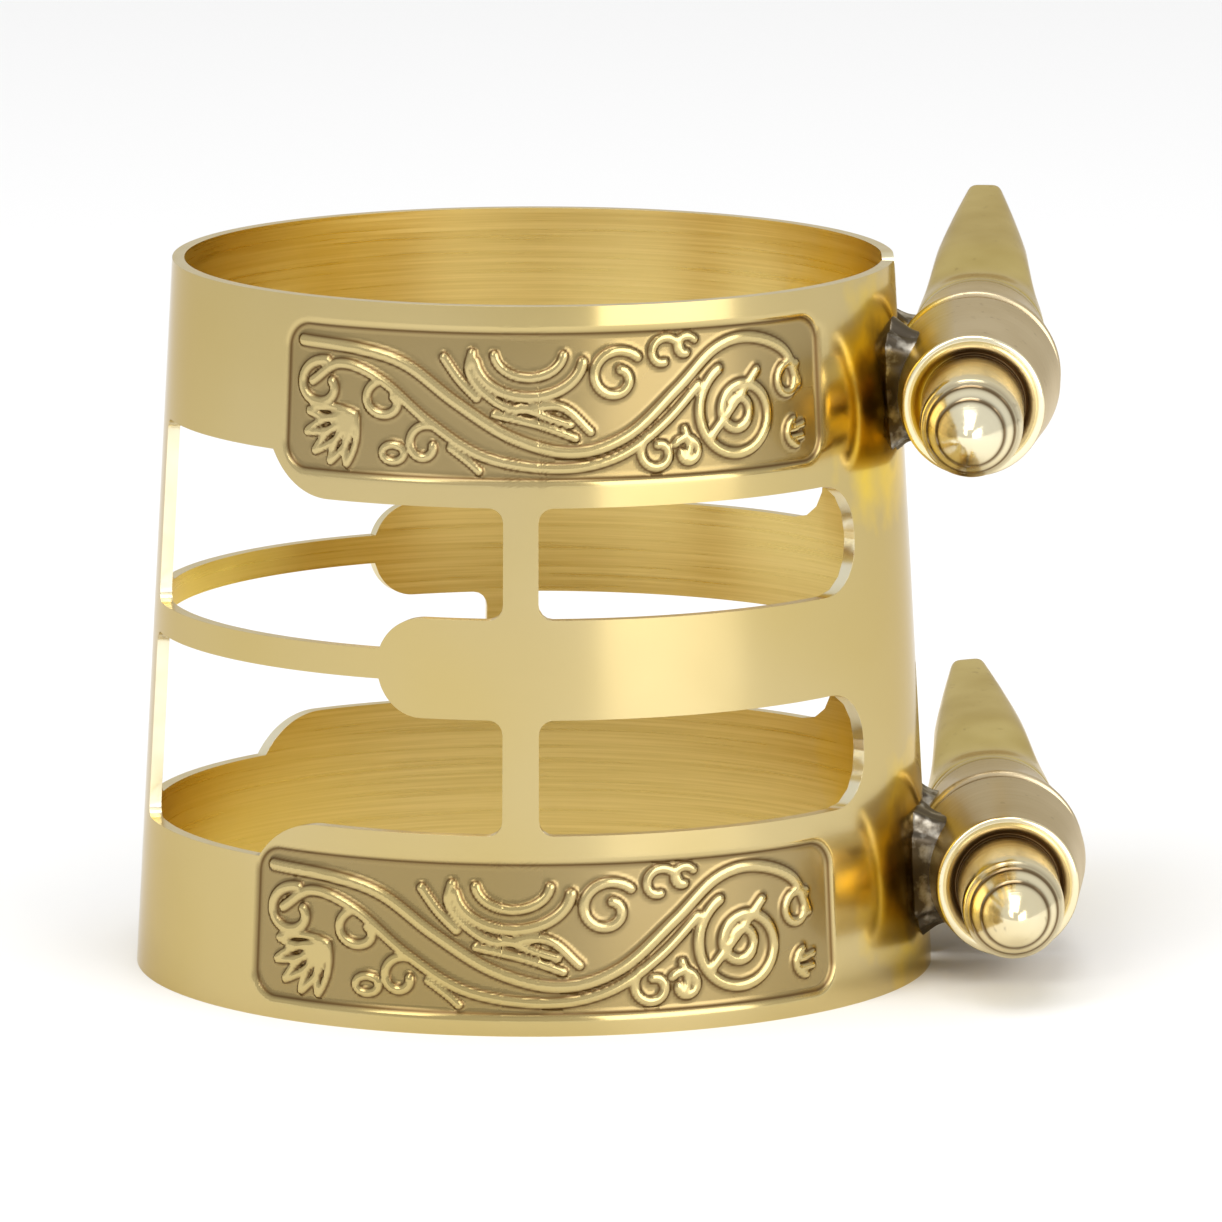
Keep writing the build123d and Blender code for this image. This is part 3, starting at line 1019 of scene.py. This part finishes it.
def nut_post_profile():
    """Half section of a nut post, from the tip of its nose to the bottom of its blind bore."""
    face = -half_gap - FACE_SET_BACK
    shoulder = -POST_END - NOSE_LENGTH
    corners = [
        (shoulder, NOSE_END_RADIUS),
        (shoulder + 0.15 * MM, NOSE_RADIUS - 0.04 * MM),
        (shoulder + 0.5 * MM, NOSE_RADIUS),
        (-POST_END + DISH_DEPTH, NOSE_RADIUS),
        (-POST_END, POST_END_RADIUS - RIM_WIDTH),
        (-POST_END, POST_END_RADIUS),
        (face, POST_RADIUS),
        (face, NUT_BORE_RADIUS),
        (-BORE_DEPTH, NUT_BORE_RADIUS),
        (-BORE_DEPTH, 0.0),
    ]
    body = split_long(rounded_profile(corners, EDGE_ROUNDING), LONGEST_STEP)
    return np.concatenate([nose_profile()[:-1], body])


def plain_post_profile():
    """Closed half section of a plain post, round from the middle of its bore."""
    face = half_gap + FACE_SET_BACK
    bore_middle = (face + POST_END) / 2
    corners = [
        (bore_middle, BORE_RADIUS),
        (face, BORE_RADIUS),
        (face, POST_RADIUS),
        (POST_END, POST_END_RADIUS),
        (POST_END, BORE_RADIUS),
        (bore_middle, BORE_RADIUS),
    ]
    return split_long(rounded_profile(corners, EDGE_ROUNDING), LONGEST_STEP)[:-1]


NOSE_START = -POST_END + FACE_SET_BACK
for height_name, place in (("upper", upper_place), ("lower", lower_place)):
    nut_post = turned_piece(
        f"turned_nut_post_{height_name}", place, nut_post_profile(), (satin_barrel, nose_highlight_finish)
    )
    plain_post = turned_piece(
        f"turned_plain_post_{height_name}", place, plain_post_profile(), (satin_barrel,), closed=True
    )
    # The end face and the nose take the nose finish with its painted highlight.
    corner = np.array([nut_post.data.vertices[face.vertices[0]].co for face in nut_post.data.polygons])
    nose_faces = ((corner - place[0]) @ place[1] < NOSE_START).astype(np.int32)
    nut_post.data.polygons.foreach_set("material_index", nose_faces)
    for piece, node, body in ((nut_post, "nut_post", "band_side"), (plain_post, "plain_post", "far_side")):
        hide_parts(f"{node}_{height_name}")
        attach(piece, body)
        print(piece.name, len(piece.data.polygons), "faces")

# %% [markdown]
# ## Thumb screws
# The shank carries a fine thread 2.5 mm across, cut as a wave that climbs 0.45 mm a turn. The head grows
# out of a round collar: its section changes evenly from a circle to a thin upright slab, and the press
# that flattened it has left a shallow dent on each face.

# %% Thread and head
PITCH = 0.45 * MM
THREAD_DEPTH = 0.25 * MM
THREAD_COLUMNS = 48
ROWS_PER_TURN = 12
HEAD_COLUMNS = 128
SHANK_DEPTH = 8.2 * MM
SEAT = POST_END + 0.05 * MM
COLLAR_LENGTH = 0.8 * MM
COLLAR_RADIUS = 2.6 * MM
SPADE_LENGTH = 12.8 * MM
SPADE_HEIGHT = 8.0 * MM
SPADE_THICKNESS = 1.55 * MM
SPADE_MID_HEIGHT = 6.5 * MM
SPADE_MID_THICKNESS = 3.8 * MM
SPADE_SECTIONS = 48
SPADE_START = 0.01
END_SECTIONS = 8
END_START = 0.15
END_SHARE = 0.03
END_INSET = 0.2 * MM
ROUND_POWER = 2.0
SQUARER_BY = 3.5
ROOT_HOLLOW = 0.38 * MM
ROOT_PLACE = 0.17
ROOT_REACH = 0.12
DENT_DEPTH = 0.3 * MM
DENT_PLACE = 6 * MM
DENT_HALF_LENGTH = 3 * MM
DENT_HALF_HEIGHT = 2.1 * MM
DENT_EDGE = 1.3


def ring_at(distance, first, second, place, first_way, second_way):
    """Points middle + a along + u first_way + v second_way, for arrays a, u and v of one shape."""
    middle, along = place[:2]
    across = first[..., None] * first_way + second[..., None] * second_way
    return middle + distance[..., None] * along + across


def thread_surface(place):
    """The shank: radius r less half the thread's depth times 1 - cos(2 pi a / pitch - t)."""
    end = SEAT + PITCH / 4
    rows = 1 + int((end + SHANK_DEPTH) / PITCH * ROWS_PER_TURN)
    columns = 2 * math.pi * np.arange(THREAD_COLUMNS) / THREAD_COLUMNS
    distance, turn = np.meshgrid(np.linspace(-SHANK_DEPTH, end, rows), columns, indexing="ij")
    wave = 0.5 - 0.5 * np.cos(2 * math.pi * distance / PITCH - turn)
    fade = smooth_step((distance + SHANK_DEPTH) / PITCH) * smooth_step((end - distance) / PITCH)
    radius = THREAD_RADIUS - THREAD_DEPTH * wave * fade
    radius[[0, -1]] = 0
    return ring_at(distance, radius * np.cos(turn), radius * np.sin(turn), place, place[2], place[3])


def head_sections():
    """Distance, half thickness, half height and squareness of each section, from the seat to the end.

    Three sizes, at the collar, halfway and at the end, are joined by one quadratic curve.
    """
    corners = [
        (0, 0),
        (0, COLLAR_RADIUS),
        (COLLAR_LENGTH, COLLAR_RADIUS),
        (COLLAR_LENGTH + 0.1 * MM, 0.97 * COLLAR_RADIUS),
    ]
    collar = rounded_profile(corners, 0.2 * MM)
    end_turn = np.linspace(END_START, 1, END_SECTIONS) * math.pi / 2
    share = np.concatenate([
        np.linspace(SPADE_START, 1 - END_SHARE, SPADE_SECTIONS),
        1 - END_SHARE * (1 - np.sin(end_turn)),
    ])
    first = (1 - share) * (1 - 2 * share)
    middle = 4 * share * (1 - share)
    last = share * (2 * share - 1)
    into_end = np.clip((share - 1 + END_SHARE) / END_SHARE, 0, 1)
    inset = END_INSET * (1 - np.sqrt(1 - into_end**2))
    root = ROOT_HOLLOW * np.exp(-(((share - ROOT_PLACE) / ROOT_REACH) ** 2))
    tall = first * COLLAR_RADIUS + middle * SPADE_MID_HEIGHT / 2 + last * SPADE_HEIGHT / 2 - inset - root
    thick = first * COLLAR_RADIUS + middle * SPADE_MID_THICKNESS / 2 + last * SPADE_THICKNESS / 2 - inset
    spade = COLLAR_LENGTH + share * SPADE_LENGTH
    distance = np.concatenate([collar[:, 0], spade, [COLLAR_LENGTH + SPADE_LENGTH]])
    thick = np.concatenate([collar[:, 1], thick, [0]])
    tall = np.concatenate([collar[:, 1], tall, [0]])
    rounder = np.full(len(collar), ROUND_POWER)
    power = np.concatenate([rounder, ROUND_POWER + SQUARER_BY * share, [ROUND_POWER + SQUARER_BY]])
    return SEAT + distance, thick, tall, power


def head_surface(place, turn_degrees):
    """The head: superellipse sections |x/b|^n + |y/h|^n = 1 whose b, h and n change along it."""
    lean = math.radians(turn_degrees)
    thick_way = place[2] * math.cos(lean) + place[3] * math.sin(lean)
    tall_way = place[3] * math.cos(lean) - place[2] * math.sin(lean)
    distance, thick, tall, power = (values[:, None] for values in head_sections())
    turn = 2 * math.pi * np.arange(HEAD_COLUMNS)[None] / HEAD_COLUMNS
    c, s = np.cos(turn), np.sin(turn)
    x = np.sign(c) * np.abs(c) ** (2 / power) * thick
    y = np.sign(s) * np.abs(s) ** (2 / power) * tall
    off_dent = np.hypot((distance - SEAT - DENT_PLACE) / DENT_HALF_LENGTH, y / DENT_HALF_HEIGHT)
    x = x - np.sign(c) * DENT_DEPTH * smooth_step(DENT_EDGE - off_dent) * np.clip(3 * np.abs(c), 0, 1)
    return ring_at(distance + 0 * x, x, y, place, thick_way, tall_way)


def thumb_screw(name, place, turn_degrees):
    """Shank and head as two closed skins in one piece; the shank's end is sunk into the head."""
    head = head_surface(place, turn_degrees)
    shank = thread_surface(place)
    points = np.concatenate([head.reshape(-1, 3), shank.reshape(-1, 3)])
    head_quads = grid_faces(*head.shape[:2], False, True)
    shank_quads = grid_faces(*shank.shape[:2], False, True) + head.shape[0] * head.shape[1]
    offset = points - place[0]
    places = np.stack([offset @ place[3], offset @ place[1]], axis=1)
    quads = np.concatenate([head_quads, shank_quads])
    # Painted shade in the seat, where the collar meets the barrel.
    mark = smooth_step(np.abs(places[:, 1] - SEAT) / SEAM_SHADE)
    return skin_piece(name, points, quads, (satin_head,), places, mark)


for height_name, place, turn in (("upper", upper_place, 0.0), ("lower", lower_place, 5.0)):
    screw = thumb_screw(f"spade_screw_{height_name}", place, turn)
    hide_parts(f"thumb_screw_{height_name}")
    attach(screw, f"{height_name}_screw")
    print(screw.name, len(screw.data.polygons), "faces")

# %% [markdown]
# ## Braze seams
# Silver braze runs into the wedge between a barrel and the band and sets with a hollow, ragged edge. Each
# seam is a closed skin: a rounded outline on the band that narrows as it climbs to the barrel.

# %% Seam surface
BRAZE_LENGTH = 3.5 * MM
BRAZE_HEIGHT = 5.0 * MM
BRAZE_MIDDLE = 2.3 * MM
SEAM_POINTS = 120
SEAM_ROWS = 9
SEAM_TOP = 0.80
SEAM_FLARE = 0.20
SEAM_POWER = 2.2
WAVE_COUNTS = (3, 5, 8, 13)
WAVE_SIZE = 0.022
WAVE_LOSS = 1.3
GAP_MARGIN = 0.05 * MM
SUNK_IN_BAND = 0.12 * MM
SUNK_IN_BARREL = 0.15 * MM
LEAST_CLIMB = 0.05 * MM
LEAST_LIFT = 0.04


def braze_seam(name, place, side, seed):
    """A seam whose outline is a squarish loop |y/a|^3 + |z/b|^3 = 1, ragged by a few slow waves.

    Its skin climbs from the band to the barrel on a hollow curve: at a share v of the way up, the loop's size
    is 0.80 + 0.20 (1 - v)^2.2. Smaller loops and a point close it below and above.
    """
    middle, along = place[:2]
    turn = 2 * math.pi * np.arange(SEAM_POINTS) / SEAM_POINTS
    wave = sum(WAVE_SIZE * np.sin(count * turn + seed * count) for count in WAVE_COUNTS)
    c, s = np.cos(turn), np.sin(turn)
    loop_y = np.sign(c) * np.abs(c) ** (2 / 3)
    loop_z = np.sign(s) * np.abs(s) ** (2 / 3)
    climb = np.linspace(0, 1, SEAM_ROWS)[:, None]
    size = (SEAM_TOP + SEAM_FLARE * (1 - climb) ** SEAM_POWER) * (1 + wave * (WAVE_LOSS - climb))
    point = np.zeros((1, SEAM_POINTS))
    size = np.concatenate([point, 0.6 * size[:1], size, 0.5 * size[-1:], point])
    climb = np.concatenate([[[0.0], [0.0]], climb, [[1.0], [1.0]]])
    y = side * (BRAZE_MIDDLE + loop_y * size * BRAZE_LENGTH / 2)
    y = side * np.maximum(side * y, half_gap + GAP_MARGIN)
    z = middle[2] + loop_z * size * BRAZE_HEIGHT / 2
    band_x = np.sqrt(radius_at(z) ** 2 - y**2)
    distance = y / along[1]
    axis_x = middle[0] + distance * along[0]
    axis_z = middle[2] + distance * along[2]
    barrel = POST_RADIUS - (POST_RADIUS - POST_END_RADIUS) * (np.abs(distance) - half_gap) / POST_LENGTH
    lift = np.clip(1 - ((z - axis_z) / barrel) ** 2, LEAST_LIFT, 1)
    barrel_x = axis_x - barrel * np.sqrt(lift)
    low = band_x - SUNK_IN_BAND
    high = np.maximum(barrel_x + SUNK_IN_BARREL, band_x + LEAST_CLIMB)
    x = low + (high - low) * climb
    points = np.stack([x, y, z], axis=2).reshape(-1, 3)
    quads = grid_faces(len(size), SEAM_POINTS, False, True)
    if side > 0:
        quads = quads[:, ::-1]
    return skin_piece(name, points, quads, (braze_metal,), points[:, 1:], np.ones(len(points)))


seed = 1
for height_name, place in (("upper", upper_place), ("lower", lower_place)):
    for side, post, body in ((-1, "nut", "band_side"), (1, "plain", "far_side")):
        seam = braze_seam(f"silver_seam_{post}_{height_name}", place, side, seed)
        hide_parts(f"{post}_braze_{height_name}")
        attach(seam, body)
        seed += 1

# %% [markdown]
# ## The stage
# A pale floor, a white room, and soft boxes: polished metal shows its surroundings more than itself, so
# the large box to the right makes the bright upright band, and the darker side of the room gives the
# brass its depth.

# %% Floor, lights and camera
FLOOR_REACH = 2.0
LENS = 341
CAMERA_PLACE = Vector((7.77 * MM, -428.74 * MM, 86.88 * MM))
CAMERA_AIM = Vector((2.9 * MM, 0, 13.2 * MM))

floor_mesh = bpy.data.meshes.new("floor")
floor_corners = [(x * FLOOR_REACH, y * FLOOR_REACH, 0) for x, y in ((-1, -1), (1, -1), (1, 1), (-1, 1))]
floor_mesh.from_pydata(floor_corners, [], [(0, 1, 2, 3)])
floor = bpy.data.objects.new("floor", floor_mesh)
scene.collection.objects.link(floor)
floor_finish = bpy.data.materials.new("Pale floor")
floor_finish.use_nodes = True
floor_tree = floor_finish.node_tree
floor_shader = floor_tree.nodes["Principled BSDF"]
set_inputs(floor_tree, floor_shader, {"Base Color": (0.9, 0.9, 0.9, 1), "Roughness": 0.9})
floor_mesh.materials.append(floor_finish)

centre = (cad_box[0] + cad_box[1]) / 2


def soft_box(name, azimuth, elevation, distance, size, power):
    """An area light facing the object's centre. Azimuth 0 is the -Y side, and 90 the +X side."""
    a, e = math.radians(azimuth), math.radians(elevation)
    direction = Vector((math.sin(a) * math.cos(e), -math.cos(a) * math.cos(e), math.sin(e)))
    data = bpy.data.lights.new(name, "AREA")
    data.shape = "RECTANGLE"
    data.size, data.size_y = size
    data.energy = power
    light = bpy.data.objects.new(name, data)
    light.location = centre + direction * distance
    light.rotation_euler = direction.to_track_quat("Z", "Y").to_euler()
    scene.collection.objects.link(light)


soft_box("key_box", azimuth=43, elevation=8, distance=0.6, size=(0.5, 0.7), power=3.0)
soft_box("top_box", azimuth=-10, elevation=72, distance=0.7, size=(0.45, 0.45), power=2.0)
soft_box("left_box", azimuth=-40, elevation=40, distance=0.7, size=(0.2, 0.5), power=0.8)

world = bpy.data.worlds.new("White room")
world.use_nodes = True
background = world.node_tree.nodes["Background"]
set_inputs(world.node_tree, background, {"Color": (0.74, 0.74, 0.74, 1), "Strength": 1.0})
scene.world = world

camera_data = bpy.data.cameras.new("camera")
camera_data.sensor_width = 36
camera_data.lens = LENS
camera_data.clip_start, camera_data.clip_end = 0.01, 10
camera = bpy.data.objects.new("camera", camera_data)
camera.location = CAMERA_PLACE
camera.rotation_euler = (camera.location - CAMERA_AIM).to_track_quat("Z", "Y").to_euler()
scene.collection.objects.link(camera)
scene.camera = camera
scene.view_settings.view_transform = "Standard"
